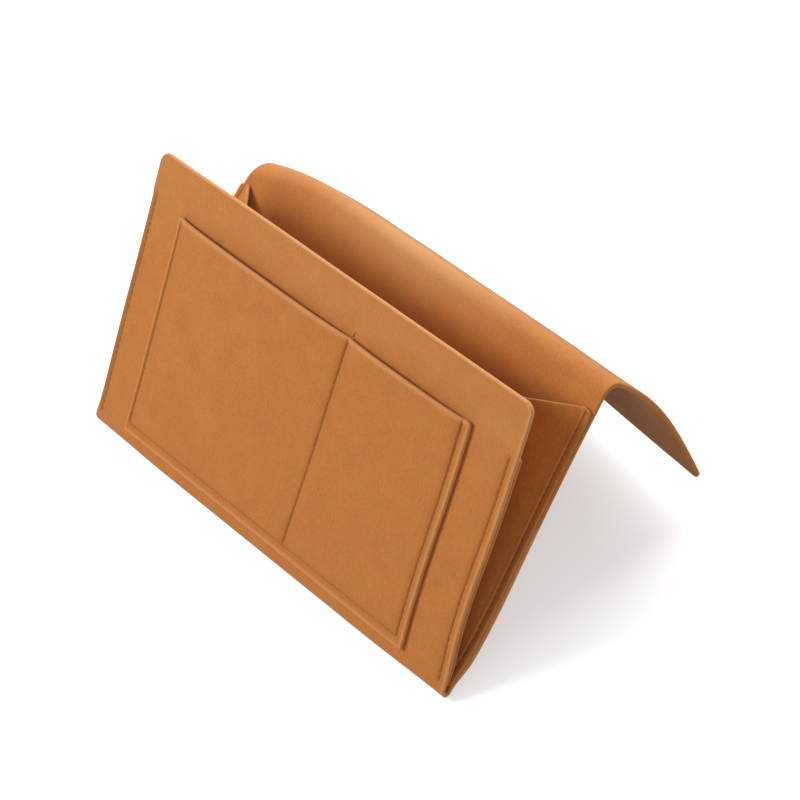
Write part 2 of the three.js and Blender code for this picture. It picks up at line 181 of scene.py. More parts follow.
def to_row(local):
    """Local millimetres to metres in the row frame, leaning back as the caddy stands."""
    x, u, w = local[..., 0], local[..., 1], -local[..., 2]
    c, s = math.cos(STANCE), math.sin(STANCE)
    return np.stack([x, c * u - s * w, s * u + c * w], -1) / 1000 + FRAME_ORIGIN


def to_row_direction(local):
    """A local direction turned into the row frame."""
    return to_row(np.asarray(local, float) * 1000) - to_row(np.zeros(3))


for node, x, s in (("tuck_flap", -HALF_WIDTH, 480), ("front_panel", HALF_WIDTH, 0)):
    low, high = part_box(node)
    here = to_row(strip_place(x, s, 0.0))
    print(node, "solid", np.round(low, 4), np.round(high, 4), "here", np.round(here, 4))

# %% [markdown]
# ## How the felt has settled
# Worn felt doesn't quite keep its folded shape. Three small warps of space move felt and
# stitches alike, so that layers that lie on each other stay together. They press the fold's
# ends flat, draw the ridge's slack end inwards, and draw the front's right side in by its seam
# while the back's right side bulges. A zone is written as a start and a run: its warp grows
# from nothing at the start to its full size a run further on, downwards if the run is negative.

# %% Warps of space
PINCH, PINCH_LIFT = 0.44, 1.5
PINCH_ENDS, PINCH_LOW, LIFT_LOW = (95, 66), (22, -19), (9, -9)
SLACK_DRAW = 1.4
RIDGE_NEAR, RIDGE_FAR, SLACK_END = (25, 40), (80, 60), (-105, -60)
BOW_IN, BULGE = 2.8, 3.0
BOW_MIDDLE, BOW_REACH = 52.0, 44.0
BOW_UP, BOW_SIDE = (-4, 40), (95, 65)
BULGE_UP, BULGE_SIDE = (2, 30), (30, 125)
POCKET_START, POCKET_LEAST = 5, 3.5


def smooth(value):
    """A smooth rise from 0 to 1 as the value goes from 0 to 1."""
    t = np.clip(value, 0, 1)
    return t * t * (3 - 2 * t)


def rise(value, start, run):
    """A smooth rise from 0 at the start to 1 a run further on."""
    return smooth((value - start) / run)


def bell(value, middle, width):
    """A bell curve: 1 at its middle, and 1/e a width away from it."""
    return np.exp(-(((value - middle) / width) ** 2))


def pinch(local):
    """The fold's ends pressed flat.

    Depths beyond the front felt's middle shrink by a share that grows towards the ends and
    down towards the fold, and the fold's very bottom rises a little.
    """
    x, u, n = local[..., 0], local[..., 1], local[..., 2]
    near_end = rise(np.abs(x), *PINCH_ENDS)
    depth = HALF_THICK + (n - HALF_THICK) * (1 - PINCH * near_end * rise(u, *PINCH_LOW))
    raised = u + PINCH_LIFT * near_end * rise(u, *LIFT_LOW)
    return np.stack([x, raised, np.where(n > HALF_THICK, depth, n)], -1)


def draw_slack(local):
    """The slack left end of the ridge drawn inwards, as felt that sinks without stretching."""
    x, n = local[..., 0], local[..., 2]
    near_ridge = rise(n, *RIDGE_NEAR) * (1 - rise(n, *RIDGE_FAR))
    drawn = local.copy()
    drawn[..., 0] += SLACK_DRAW * near_ridge * rise(x, *SLACK_END)
    return drawn


def bow_right(local):
    """The front's right side drawn in a little by its seam, and the back's pushed out.

    The share of the depth in the pocket, from the front to the back, divides the two.
    """
    x, u, n = local[..., 0], local[..., 1], local[..., 2]
    lean = LEAN[1]
    depth = rise(n, POCKET_START, POCKET_LEAST + np.clip(u, 0, None) * math.tan(lean))
    hump = bell(u, BOW_MIDDLE, BOW_REACH)
    bow = BOW_IN * hump * rise(u, *BOW_UP)
    bulge = BULGE * hump * rise(u, *BULGE_UP) * rise(x, *BULGE_SIDE) * depth
    drawn = local.copy()
    drawn[..., 0] -= bow * rise(x, *BOW_SIDE) * (1 - depth)
    drawn[..., 1] -= bulge * math.sin(lean)
    drawn[..., 2] += bulge * math.cos(lean)
    return drawn


def settle(local):
    """Local places moved by all three warps, one after the other."""
    return bow_right(draw_slack(pinch(local)))


low_right = np.array([160.0, 52.0, 1.0])
print("a place low at the right moves by", np.round(settle(low_right) - low_right, 2), "mm")

# %% [markdown]
# ## A sheet of felt with cut edges
# One helper makes every piece of felt from a grid of flat places and a function that folds a
# flat place and a height into space. The two faces are the grid at plus and minus half the
# thickness. Round the edge, the border moves out and down a quarter circle, across the cut, and
# back: felt is cut with a blade, so that the edge is square with a small soft corner. Each
# vertex keeps its flat place, so that the grain stays in the cloth wherever it is bent, and
# with it how pale the cut edge is (rim), how deep a seam pulls the felt in (pull) and how far
# the face is made paler as painted light.

# %% The sheet helper
EDGE_ROUND, EDGE_SWELL = 1.1, 0.06
CORNER_TURNS = np.radians([30, 60, 90])
RIM_START = 0.6
NEAR_REACH = (0.25, 0.5, 0.8, 1.2, 1.8, 2.8)


def unit(vectors):
    """The vectors at a length of 1."""
    return vectors / np.linalg.norm(vectors, axis=-1, keepdims=True)


def nothing(x, s, side=0):
    """No pull and no paling anywhere."""
    return np.zeros_like(x)


def mesh_object(name, vertices, quads, values):
    """A mesh object from arrays; values are per-vertex attributes of one or three numbers."""
    mesh = bpy.data.meshes.new(name)
    mesh.from_pydata(vertices, [], quads, shade_flat=False)
    mesh.validate()
    for key, value in values.items():
        kind, field = ("FLOAT_VECTOR", "vector") if value.ndim == 2 else ("FLOAT", "value")
        attribute = mesh.attributes.new(key, kind, "POINT")
        attribute.data.foreach_set(field, value.astype(np.float32).ravel())
    uv = mesh.uv_layers.new(name="cloth")
    uv.data.foreach_set("uv", values["cloth"][quads.ravel(), :2].astype(np.float32).ravel())
    made = bpy.data.objects.new(name, mesh)
    scene.collection.objects.link(made)
    return made


def outwards(vertices, quads):
    """The quads turned so that their faces look out of the closed body."""
    a, b, c, d = (vertices[quads[:, k]] for k in range(4))
    volume = sum(np.einsum("ij,ij->i", a, np.cross(p, q)).sum() for p, q in ((b, c), (c, d)))
    return quads if volume > 0 else quads[:, ::-1]


def grid_quads(rows, columns, first=0):
    """The quads of a grid of vertices, numbered row by row."""
    a = (first + np.arange(rows - 1)[:, None] * columns + np.arange(columns - 1)).ravel()
    return np.stack([a, a + 1, a + columns + 1, a + columns], 1)


def felt_sheet(
    name, x, s, fold, seam=nothing, thick=THICK, pale_share=0.25, painted_light=nothing, joined=None
):
    """A closed sheet: two faces over the flat grid (x, s), and a rounded rim between them.

    fold(x, s, height) gives local places, the height running from minus half to plus half the
    thickness. seam(x, s, side) gives how deep stitching pulls that face in, in mm. A share
    says how far the cut edge is paler, and a function of (x, s) how far the faces are made
    paler as painted light, both from 0 to 1. joined is the distance s at which the felt goes
    on in another piece, so that it has no cut edge.
    """
    rows, columns = x.shape
    half = thick / 2
    edge_round = EDGE_ROUND * thick / THICK
    spots = np.arange(rows * columns).reshape(rows, columns)
    border = np.concatenate([spots[0], spots[1:, -1], spots[-1, -2::-1], spots[-2:0:-1, 0]])
    flat = np.stack([x.ravel(), s.ravel()], 1)
    edge = flat[border]
    tangent = np.roll(edge, -1, 0) - np.roll(edge, 1, 0)
    out = unit(np.stack([tangent[:, 1], -tangent[:, 0]], 1))
    parts = []

    def add(points, height, how_near):
        px, ps = points[:, 0], points[:, 1]
        depth = seam(px, ps, 1 if height >= 0 else -1)
        share = height / half
        parts.append((
            fold(px, ps, share * (half - depth)),
            np.stack([px, ps, np.full_like(px, height)], 1) / 1000,
            np.full_like(px, how_near), depth * abs(share), painted_light(px, ps),
        ))

    def add_corner(turn, side):
        height = half - edge_round * (1 - math.cos(turn))
        add(edge + out * edge_round * math.sin(turn), side * height, 1.0)

    add(flat, half, 0.0)
    add(flat, -half, 0.0)
    for turn in CORNER_TURNS:
        add_corner(turn, 1)
    add(edge + out * (edge_round + EDGE_SWELL), 0.0, 1.0)
    for turn in CORNER_TURNS[::-1]:
        add_corner(turn, -1)

    size, ring = rows * columns, len(border)
    rings = [2 * size + k * ring + np.arange(ring) for k in range(2 * len(CORNER_TURNS) + 1)]
    loops = [border] + rings + [size + border]
    quads = [grid_quads(rows, columns), grid_quads(rows, columns, size)[:, ::-1]]
    for upper, lower in zip(loops, loops[1:]):
        quads.append(np.stack([upper, lower, np.roll(lower, -1), np.roll(upper, -1)], 1))
    places, cloth, rim, pull, pale = map(np.concatenate, zip(*parts))
    vertices = to_row(settle(places))
    quads = outwards(vertices, np.concatenate(quads))
    rim[border] = rim[size + border] = RIM_START
    rim *= pale_share
    if joined is not None:
        inside = np.abs(cloth[:, 0]) * 1000 < HALF_WIDTH - EDGE_ROUND - 0.5
        rim[inside & (np.abs(cloth[:, 1] * 1000 - joined) < EDGE_ROUND + 0.1)] = 0.0
    made = mesh_object(name, vertices, quads, dict(cloth=cloth, rim=rim, pull=pull, painted_light=pale))
    print(name, len(vertices), "vertices,", 2 * len(quads), "triangles")
    return made


def stations(low, high, step, near=(), reach=NEAR_REACH):
    """Rising places from low to high, step apart, with close ones on both sides of each near.

    An even place gives way to a close one that is nearer to it than 0.3 of a step.
    """
    even = np.linspace(low, high, max(2, int(round((high - low) / step)) + 1))
    close = [middle + offset for middle in near for offset in (0, *reach, *(-r for r in reach))]
    close = np.array([place for place in close if low < place < high])
    if len(close):
        keep = np.array([np.min(np.abs(close - place)) > 0.3 * step for place in even])
        keep[[0, -1]] = True
        close = close[(close > low + 0.15) & (close < high - 0.15)]
        even = np.union1d(even[keep], close)
    return even

# %% [markdown]
# ## Seams
# A lockstitch in a matching thread is pulled tight enough to sink below the felt, and draws it
# in: a narrow groove, and a wider shallow hollow. Both are bell curves of the distance to the
# seam and fade at its ends. The patch's bottom row is sewn looser, so it pulls less.

# %% Seam lines and how they pull the felt
SEAM_INSET, SEAM_END = 4.5, 2.0
SEAM_X = HALF_WIDTH - SEAM_INSET
FLANGE_BOTTOM = 2.5
SEAM_LOW = FLANGE_BOTTOM + SEAM_END
FRONT_TOP_INSET, BACK_TOP_INSET = {-1: 24.0, 1: 31.4}, {-1: 2.2, 1: 9.2}
FRONT_REACH, BACK_REACH = {}, {}
for side in SIDES.values():
    ends = strip_lengths(np.array(side * HALF_WIDTH))
    FRONT_REACH[side] = FRONT_HEIGHT - FOLD_CENTRE - FRONT_TOP_INSET[side]
    BACK_REACH[side] = ends["back"] - ends["fold"] - BACK_TOP_INSET[side]
PATCH_LEFT, PATCH_RIGHT = 32.2 - HALF_WIDTH, HALF_WIDTH - 35.7
PATCH_BOTTOM, PATCH_TOP = 11.6, 152.9
PATCH_SEAM_LEFT, PATCH_SEAM_RIGHT = PATCH_LEFT + 3.0, PATCH_RIGHT - 5.8
PATCH_SEAM_BOTTOM, PATCH_SEAM_TOP = PATCH_BOTTOM + 6.1, PATCH_TOP - 2.0
DIVIDER_BOTTOM, DIVIDER_TOP = np.array([20.5, 19.2]), np.array([26.6, PATCH_SEAM_TOP])
GROOVE_DEPTH, GROOVE_WIDTH = 0.60, 0.62
BOTTOM_PULL = 0.55
HOLLOW_DEPTH, HOLLOW_WIDTH = 0.36, 2.7
PULL_FADE = 1.2


def draw_in(distance, beyond):
    """The pull of a seam: narrow and wide bell curves of the distance, fading past its end."""
    fade = np.clip(1 - beyond / PULL_FADE, 0, 1)
    narrow = GROOVE_DEPTH * bell(distance, 0, GROOVE_WIDTH)
    return fade * (narrow + HOLLOW_DEPTH * bell(distance, 0, HOLLOW_WIDTH))


def line_pull(x, u, start, end):
    """The pull of a straight seam between two flat places."""
    from_x, from_u, (run_x, run_u) = x - start[0], u - start[1], np.subtract(end, start)
    length = math.hypot(run_x, run_u)
    along = (from_x * run_x + from_u * run_u) / length
    aside = (from_x * run_u - from_u * run_x) / length
    return draw_in(aside, np.maximum(np.maximum(-along, along - length), 0))


PATCH_SEAM = [
    (PATCH_SEAM_LEFT, PATCH_SEAM_TOP), (PATCH_SEAM_LEFT, PATCH_SEAM_BOTTOM),
    (PATCH_SEAM_RIGHT, PATCH_SEAM_BOTTOM), (PATCH_SEAM_RIGHT, PATCH_SEAM_TOP),
]


def patch_pull(x, u):
    """The pull of the patch's seam on three sides and of the seam that divides it."""
    pulls = [
        share * line_pull(x, u, a, b)
        for share, a, b in zip((1.0, BOTTOM_PULL, 1.0), PATCH_SEAM, PATCH_SEAM[1:])
    ]
    return np.maximum.reduce(pulls + [line_pull(x, u, DIVIDER_TOP, DIVIDER_BOTTOM)])


# the front's right seam runs a little further in than the three others
FRONT_SEAM_X = {-1: -SEAM_X, 1: SEAM_X - 1.2}
# the left margin is pressed this deep, in mm, and this pull also darkens it as painted shade
MARGIN_PRESS_AND_SHADE, MARGIN_PAST, MARGIN_RUN = 1.0, 3, 8


def side_pull(x, u, side):
    """The pull of a gusset's seam on the front panel; the left margin is pressed thin as well, and
    its pull darkens it as painted shade.
    """
    low, high = FOLD_CENTRE + SEAM_LOW, FOLD_CENTRE + FRONT_REACH[side] - SEAM_END
    pull = line_pull(x, u, (FRONT_SEAM_X[side], low), (FRONT_SEAM_X[side], high))
    if side < 0:
        inside = rise(u, low - MARGIN_PAST, MARGIN_RUN) * rise(u, high + MARGIN_PAST, -MARGIN_RUN)
        pull = np.maximum(pull, MARGIN_PRESS_AND_SHADE * inside * rise(x, 0.5 - SEAM_X, -1.5))
    return pull


# %% [markdown]
# ## Ripple
# Pressed felt isn't quite flat. A few long, low waves of different lengths are added along the
# felt's normal, the same for all layers that lie on each other, so that they stay in touch.

# %% The ripple
# each wave's height, its lengths across and along the felt (over 2 pi), and its phase
WAVES = ((0.13, 31, 47, 0.6), (0.10, 19, -28, 2.1), (0.07, 57, 15, 4.0), (0.05, 11, 13, 1.2))
RIPPLE_START, RIPPLE_RUN = 7, 22


def ripple(x, s):
    """A height of up to about 0.35 mm from slow sine waves, with none round the fold."""
    from_fold = np.abs(s - (FRONT_HEIGHT - FOLD_CENTRE + 6))
    waves = sum(size * np.sin(x / wide + s / long + phase) for size, wide, long, phase in WAVES)
    return rise(from_fold, RIPPLE_START, RIPPLE_RUN) * waves


# %% [markdown]
# ## Front panel, bottom fold and lower back
# The first piece of the strip runs from the front panel's top edge to the middle of the back.
# The grid's columns lie close together along the seams, and follow the dividing seam, which leans a
# little.

# %% The lower piece of the strip
DIVIDER_COLUMN, DIVIDER_SPREAD, DIVIDER_SPAN = 23.0, 60, (15, 155)
# painted light: the front panel paler towards its top edge, and the zone over which it fades
TOP_PAINTED_LIGHT, TOP_ZONE = 0.2, (75, -60)
COLUMN_STEP, ROW_STEP, FOLD_STEP = 2.6, 2.4, 0.7


def divider_x(u):
    """The dividing seam's place across the panel, at a height up it."""
    share = (u - DIVIDER_BOTTOM[1]) / (DIVIDER_TOP[1] - DIVIDER_BOTTOM[1])
    return DIVIDER_BOTTOM[0] + share * (DIVIDER_TOP[0] - DIVIDER_BOTTOM[0])


def follow_divider(x, u):
    """Columns shifted so that the one at DIVIDER_COLUMN runs along the dividing seam."""
    weight = np.clip(1 - np.abs(x - DIVIDER_COLUMN) / DIVIDER_SPREAD, 0, 1)
    return x + (divider_x(np.clip(u, *DIVIDER_SPAN)) - DIVIDER_COLUMN) * weight


def rounded_grid(near, rows, corner_at, towards):
    """A flat grid that draws in round the corners past one row, towards -1 or 1 along s."""
    columns = stations(-inner_side, inner_side, COLUMN_STEP, near)
    x, s = np.meshgrid(columns, np.unique(np.concatenate(rows)))
    radius = CORNER - EDGE_ROUND
    deep = np.clip(towards * (s - corner_at), 0, radius)
    side = inner_side - (radius - np.sqrt(radius**2 - deep**2))
    return x * side / inner_side, s


inner_side = HALF_WIDTH - EDGE_ROUND
BACK_SPLIT, NEAR_SPLIT = 290.0, 0.3
corner_rows = EDGE_ROUND + (CORNER - EDGE_ROUND) * (1 - np.cos(np.linspace(0, math.pi / 2, 9)))
seam_columns = (-SEAM_X, FRONT_SEAM_X[1], PATCH_SEAM_LEFT, PATCH_SEAM_RIGHT, DIVIDER_COLUMN)
fold_start = FRONT_HEIGHT - FOLD_CENTRE
front_rows = stations(CORNER, fold_start - 5, ROW_STEP, (FRONT_HEIGHT - PATCH_SEAM_BOTTOM,))
fold_rows = np.arange(fold_start - 4.2, 193.0, FOLD_STEP)
back_rows = np.append(np.linspace(194.0, BACK_SPLIT, 38), BACK_SPLIT - NEAR_SPLIT)
rows = [corner_rows, front_rows, fold_rows, back_rows]
grid_x, grid_s = rounded_grid(seam_columns, rows, CORNER, -1)
grid_x = follow_divider(grid_x, FRONT_HEIGHT - grid_s)


def back_seam_pull(x, s, side):
    """The pull of the gusset's seam near one side of the back."""
    reach, at = s - strip_lengths(x)["fold"], side * SEAM_X
    return line_pull(x, reach, (at, SEAM_LOW), (at, BACK_REACH[side] - SEAM_END))


def strip_pull(x, s, face):
    """Which seams pull the strip's outer face (1) and its inner face (-1)."""
    u = FRONT_HEIGHT - s
    if face > 0:
        front = np.maximum(side_pull(x, u, -1), side_pull(x, u, 1))
        back = np.maximum(back_seam_pull(x, s, -1), back_seam_pull(x, s, 1))
    else:
        front, back = patch_pull(x, u), np.zeros_like(x)
    return np.where(s < FRONT_HEIGHT - FOLD_CENTRE, front, back)


def strip_fold(x, s, height):
    """The strip's own fold, for the lower piece."""
    return strip_place(x, s, height + ripple(x, s))


# the front panel is made paler towards its top as painted light
front_strip = felt_sheet(
    "front_strip", grid_x, grid_s, strip_fold, strip_pull,
    pale_share=1.0, painted_light=lambda x, s: TOP_PAINTED_LIGHT * rise(s, *TOP_ZONE), joined=BACK_SPLIT,
)
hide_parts("front_panel", "bottom_fold", "back_panel")

# %% [markdown]
# ## Upper back, ridge and tuck flap
# The second piece runs on from the same line on the back, over the ridge and down the flap. Its
# end corners are rounded.
# Along the ridge the felt is paler, as a painted highlight.

# %% The upper piece of the strip
strip_end = float(strip_lengths(np.array(0.0))["flap"])
EVEN_OUT = 20
SAG, SAG_MIDDLE, SAG_WIDTH = 2.8, -108, 34
SAG_ALONG, SAG_FROM_CORNER = (425, 70), (-165, 30)
# the ridge's painted highlight: its strength, and its bells across and along the strip
RIDGE_HIGHLIGHT, RIDGE_HIGHLIGHT_X, RIDGE_HIGHLIGHT_S = 1.1, (-20, 88), (379, 18)


def strip_fold_upper(x, s, height):
    """The strip with its free end straight across, sagging right of its left corner."""
    shift = (strip_lengths(x)["flap"] - strip_end) * np.clip((s - BACK_SPLIT) / EVEN_OUT, 0, 1)
    sag = SAG * bell(x, SAG_MIDDLE, SAG_WIDTH) * rise(s, *SAG_ALONG) * rise(x, *SAG_FROM_CORNER)
    return strip_place(x, s + shift, height + ripple(x, s) + sag)


ridge_rows = np.linspace(338.0, 396.0, 59)
flap_rows = np.linspace(398.0, strip_end - CORNER, 38)
end_rows = strip_end - corner_rows[::-1]
low_rows = np.append(np.linspace(BACK_SPLIT, 336.0, 20), BACK_SPLIT + NEAR_SPLIT)
rows = [low_rows, ridge_rows, flap_rows, end_rows]
grid_x, grid_s = rounded_grid((-SEAM_X, SEAM_X), rows, strip_end - CORNER, 1)


def ridge_highlight(x, s):
    """A painted highlight: paler along the ridge, most between its left end and middle."""
    return RIDGE_HIGHLIGHT * bell(x, *RIDGE_HIGHLIGHT_X) * bell(s, *RIDGE_HIGHLIGHT_S)


tuck_strip = felt_sheet(
    "tuck_strip", grid_x, grid_s, strip_fold_upper, strip_pull, painted_light=ridge_highlight, joined=BACK_SPLIT
)
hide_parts("ridge_bend", "tuck_flap", "back_panel")

# %% [markdown]
# ## The pocket patch
# The patch lies on the front panel, so its place is the strip's place raised by two half
# thicknesses and a small gap. Its seam holds three sides and the divider; between them the
# mouth stands a little open, as a bow that dies away down the patch.

# %% The patch
MOUTH_GAPE, MOUTH_DEPTH = 4.2, 24.0
BOW_POWER, RIGHT_SHARE = 0.4, 0.8


def gape(x, u):
    """How far the mouth stands off: a power of a half sine between seams, dying away downwards."""
    middle = divider_x(u)
    left = np.clip((x - PATCH_SEAM_LEFT) / (middle - PATCH_SEAM_LEFT), 0, 1)
    right = np.clip((x - middle) / (PATCH_SEAM_RIGHT - middle), 0, 1)
    bow = np.sin(math.pi * left) ** BOW_POWER + RIGHT_SHARE * np.sin(math.pi * right) ** BOW_POWER
    return MOUTH_GAPE * bow * np.exp(-((PATCH_TOP - u) / MOUTH_DEPTH))


def on_front(x, u, raised):
    """A place over the front panel, raised from its felt's middle."""
    return strip_place(x, FRONT_HEIGHT - u, raised + ripple(x, FRONT_HEIGHT - u))


def on_back(x, reach, raised):
    """A place over the back, a reach up it from the bottom fold, raised from its felt's middle."""
    s = strip_lengths(x)["fold"] + reach
    return strip_place(x, s, raised + ripple(x, s))


def patch_fold(x, u, height):
    """The patch laid on the front panel, its mouth standing off."""
    return on_front(x, u, THICK + GAP + gape(x, u) + height)


patch_seams = (PATCH_SEAM_LEFT, PATCH_SEAM_RIGHT, DIVIDER_COLUMN)
patch_columns = stations(PATCH_LEFT + EDGE_ROUND, PATCH_RIGHT - EDGE_ROUND, ROW_STEP, patch_seams)
patch_rows = stations(PATCH_BOTTOM + EDGE_ROUND, PATCH_TOP - EDGE_ROUND, 2.2, (PATCH_SEAM_BOTTOM,))
grid_x, grid_u = np.meshgrid(patch_columns, patch_rows)
grid_x = follow_divider(grid_x, grid_u)
pocket_patch = felt_sheet(
    "patch", grid_x, grid_u, patch_fold,
    lambda x, u, face: patch_pull(x, u) if face > 0 else np.zeros_like(x), pale_share=1.0,
)
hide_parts("pocket_patch")

# %% [markdown]
# ## The gussets
# Each gusset is one sheet, folded inwards down its middle. Its fold lines all meet at the
# bottom fold's centre, so its halves stay flat as the pocket opens and closes, as a bellows'
# flaps do. Flat places on it are (a, r): a is the distance from the crease, less than zero on
# the front half, and r runs up the crease. Past each seam line the sheet turns round that
# line, as a cylinder, until it lies along the panel that it is sewn to.

# %% The directions of a gusset
HALF_ANGLE = math.radians(20)
FOLD_INSET = 6.5
CREASE_RADIUS = 0.5 + THIN / 2
HALF_COS, HALF_SIN, HALF_TAN = math.cos(HALF_ANGLE), math.sin(HALF_ANGLE), math.tan(HALF_ANGLE)
KNUCKLE_SHARE, KNUCKLE_LET = 0.8, 0.06


def gusset_directions(side):
    """The fold lines' common point, and the directions of the crease, the halves and seams."""
    x = side * (HALF_WIDTH - FOLD_INSET)
    lean = float(across(LEAN, x))
    apex = np.array([x, FOLD_CENTRE, FOLD_CENTRE])
    tilt = math.acos(HALF_COS / math.cos(lean / 2))
    crease = math.cos(tilt) * np.array([0, math.cos(lean / 2), math.sin(lean / 2)])
    crease = crease + math.sin(tilt) * np.array([-side, 0.0, 0.0])
    c, s = math.cos(lean), math.sin(lean)
    panels = {"front": ((0.0, 1.0, 0.0), (0.0, 0.0, -1.0)), "rear": ((0.0, c, s), (0.0, -s, c))}
    halves = {}
    for end, (seam, panel) in panels.items():
        seam, panel = np.array(seam), np.array(panel)
        aside = unit(seam - crease * (seam @ crease))
        out = unit(np.cross(crease, aside))
        out = out if out @ panel > 0 else -out
        past = aside * HALF_COS - crease * HALF_SIN
        bend = math.acos(np.clip(past @ np.array([side, 0.0, 0.0]), -1, 1))
        halves[end] = dict(seam=seam, panel=panel, aside=aside, out=out, past=past, bend=bend)
    inward = -unit(halves["front"]["aside"] + halves["rear"]["aside"])
    sideways = np.cross(inward, crease)
    if sideways @ halves["front"]["out"] < 0:
        sideways = -sideways
    sweep = math.acos(np.clip(inward @ halves["front"]["out"], -1, 1))
    bends = [round(math.degrees(half["bend"]), 1) for half in halves.values()]
    print("gusset", side, "bends", bends, "crease", round(math.degrees(sweep), 1))
    return apex, crease, halves, inward, sideways, sweep


def gusset_fold(side):
    """The function that folds flat places (a, r) of one gusset into space."""
    apex, crease, halves, inward, sideways, sweep = gusset_directions(side)
    turned = CREASE_RADIUS * sweep

    def fold(a, r, height):
        a, r, level = a[..., None], r[..., None], CREASE_RADIUS + height[..., None]
        angle = np.clip(np.abs(a) / CREASE_RADIUS, 0, sweep)
        beyond = np.clip(np.abs(a) - turned, 0, None)
        past, along = beyond * HALF_COS - r * HALF_SIN, r * HALF_COS + beyond * HALF_SIN
        turn = np.clip(past / CREASE_RADIUS, 0, None)
        folded = {}
        for end, towards in (("front", sideways), ("rear", -sideways)):
            half = halves[end]
            # round the crease as an arc about its line, and flat beyond it
            arc = (inward * np.cos(angle) + towards * np.sin(angle)) * level
            flat = half["aside"] * beyond + half["out"] * level
            place = apex + crease * r + np.where(beyond > 0, flat, arc)
            # past the seam line, as an arc about that line
            ring = half["out"] * np.cos(turn) + half["past"] * np.sin(turn)
            knuckle = apex + half["seam"] * along + ring * (level - KNUCKLE_LET)
            folded[end] = np.where(past > 0, knuckle, place)
        return np.where(a >= 0, folded["rear"], folded["front"])

    return fold, turned, halves


def gusset_grid(turned, halves, tops):
    """Flat places over both halves: rows run up the crease, columns across from seam to seam."""
    shares = np.concatenate([np.linspace(1, 0.04, 24), [0.02]])
    v = np.concatenate([[0.0], np.linspace(0.012, 0.985, 56), [1.0]])
    low = FLANGE_BOTTOM + EDGE_ROUND
    front_top, crease_top, rear_top = tops

    def reach_to(top):
        return low + v * (top - EDGE_ROUND - low)

    def half_columns(sign, end_top):
        """Columns of one half, from its seam line to the crease."""
        for share in shares:
            reach = reach_to(crease_top + (end_top - crease_top) * share)
            yield sign * (turned + share * reach * HALF_TAN), reach

    def past_seam(end, sign, a, r):
        """A few more columns past a seam line, for the turn along the panel."""
        knuckle = CREASE_RADIUS * halves[end]["bend"] * KNUCKLE_SHARE / HALF_COS
        steps = np.linspace(0, knuckle + EDGE_ROUND, 5)[1:]
        return [(a + sign * step, r) for step in steps]

    front, rear = list(half_columns(-1, front_top)), list(half_columns(1, rear_top))[::-1]
    reach = reach_to(crease_top)
    turns = [(np.full_like(reach, turn * turned), reach) for turn in np.linspace(-1, 1, 9)[1:-1]]
    before, after = past_seam("front", -1, *front[0]), past_seam("rear", 1, *rear[-1])
    a, r = zip(*before[::-1], *front, *turns, *rear, *after)
    return np.array(a).T, np.array(r).T


# %% Make the gussets and their flanges
CREASE_DROP = {-1: 9, 1: 0}
LAYER = HALF_THICK + GAP + THIN / 2
FLANGE_CORNER, FLANGE_SEAM = 4.0, FOLD_INSET - SEAM_INSET
FLANGE_ROWS = np.concatenate([np.linspace(0, 0.94, 70), np.linspace(0.945, 1, 14)])


def gusset_tops(side):
    """How far up the tops of the front seam, the crease and the rear seam lie."""
    front, rear = FRONT_REACH[side] * HALF_COS, BACK_REACH[side] * HALF_COS
    return front, rear - CREASE_DROP[side], rear


def make_gusset(name, side):
    """One gusset's two halves as a sheet, and the directions of its halves."""
    fold, turned, halves = gusset_fold(side)
    a, r = gusset_grid(turned, halves, gusset_tops(side))
    body = felt_sheet(f"gusset_{name}", a, r, fold, thick=THIN)
    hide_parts(f"gusset_{name}_front", f"gusset_{name}_rear", f"gusset_{name}_crease")
    return body, halves


gussets = {name: make_gusset(name, side) for name, side in SIDES.items()}


def flange_fold(side, end, half):
    """Folds a flange: d runs outwards from its fold line, less than zero round the turn."""
    x_line = side * (HALF_WIDTH - FOLD_INSET)
    apex = np.array([x_line, FOLD_CENTRE, FOLD_CENTRE])
    outer = np.array([side, 0.0, 0.0])

    def fold(d, reach, height):
        x = x_line + side * np.clip(d, 0, None)
        if end == "front":
            flat = on_front(x, FOLD_CENTRE + reach, height - LAYER)
        else:
            flat = on_back(x, reach, height - LAYER)
        turn = np.clip(-d / CREASE_RADIUS, 0, None)[..., None]
        ring = half["panel"] * np.cos(turn) - outer * np.sin(turn)
        bent = apex + half["seam"] * reach[..., None] + ring * (CREASE_RADIUS + height)[..., None]
        return np.where((d < 0)[..., None], bent, flat)

    return fold


def make_flange(name, side, end):
    """One sewn margin of a gusset, from the turn at its fold line to its rounded corner."""
    half = gussets[name][1][end]
    top = (FRONT_REACH if end == "front" else BACK_REACH)[side]
    turn = np.linspace(-CREASE_RADIUS * half["bend"], 0, 6)[:-1]
    flat = stations(0.0, FOLD_INSET - EDGE_ROUND, 1.2, (FLANGE_SEAM,), NEAR_REACH[:4])
    d, share = np.meshgrid(np.concatenate([turn, flat]), FLANGE_ROWS)
    near_corner = np.clip(d - (FOLD_INSET - FLANGE_CORNER), 0, None)
    drop = FLANGE_CORNER - np.sqrt(FLANGE_CORNER**2 - near_corner**2)
    low = FLANGE_BOTTOM + EDGE_ROUND
    reach = low + share * (top - EDGE_ROUND - drop - low)

    def seam(d, reach, face):
        pull = line_pull(d, reach, (FLANGE_SEAM, SEAM_LOW), (FLANGE_SEAM, top - SEAM_END))
        return pull * (face < 0)

    flange = felt_sheet(f"flange_{name}_{end}", d, reach, flange_fold(side, end, half), seam, THIN)
    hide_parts(f"gusset_{name}_{end}_flange")
    return flange


flanges = {
    (name, end): make_flange(name, side, end)
    for name, side in SIDES.items() for end in ("front", "rear")
}

# %% [markdown]
# ## What was cut flat
# Stiff felt was folded and sewn here, not draped, so its shape is written down rather than
# simulated. The gussets' flat sizes are worked out and printed. The strip's pieces and the
# patch are rectangles. A gusset is a fan of two halves, and its sewn margins are the flanges.

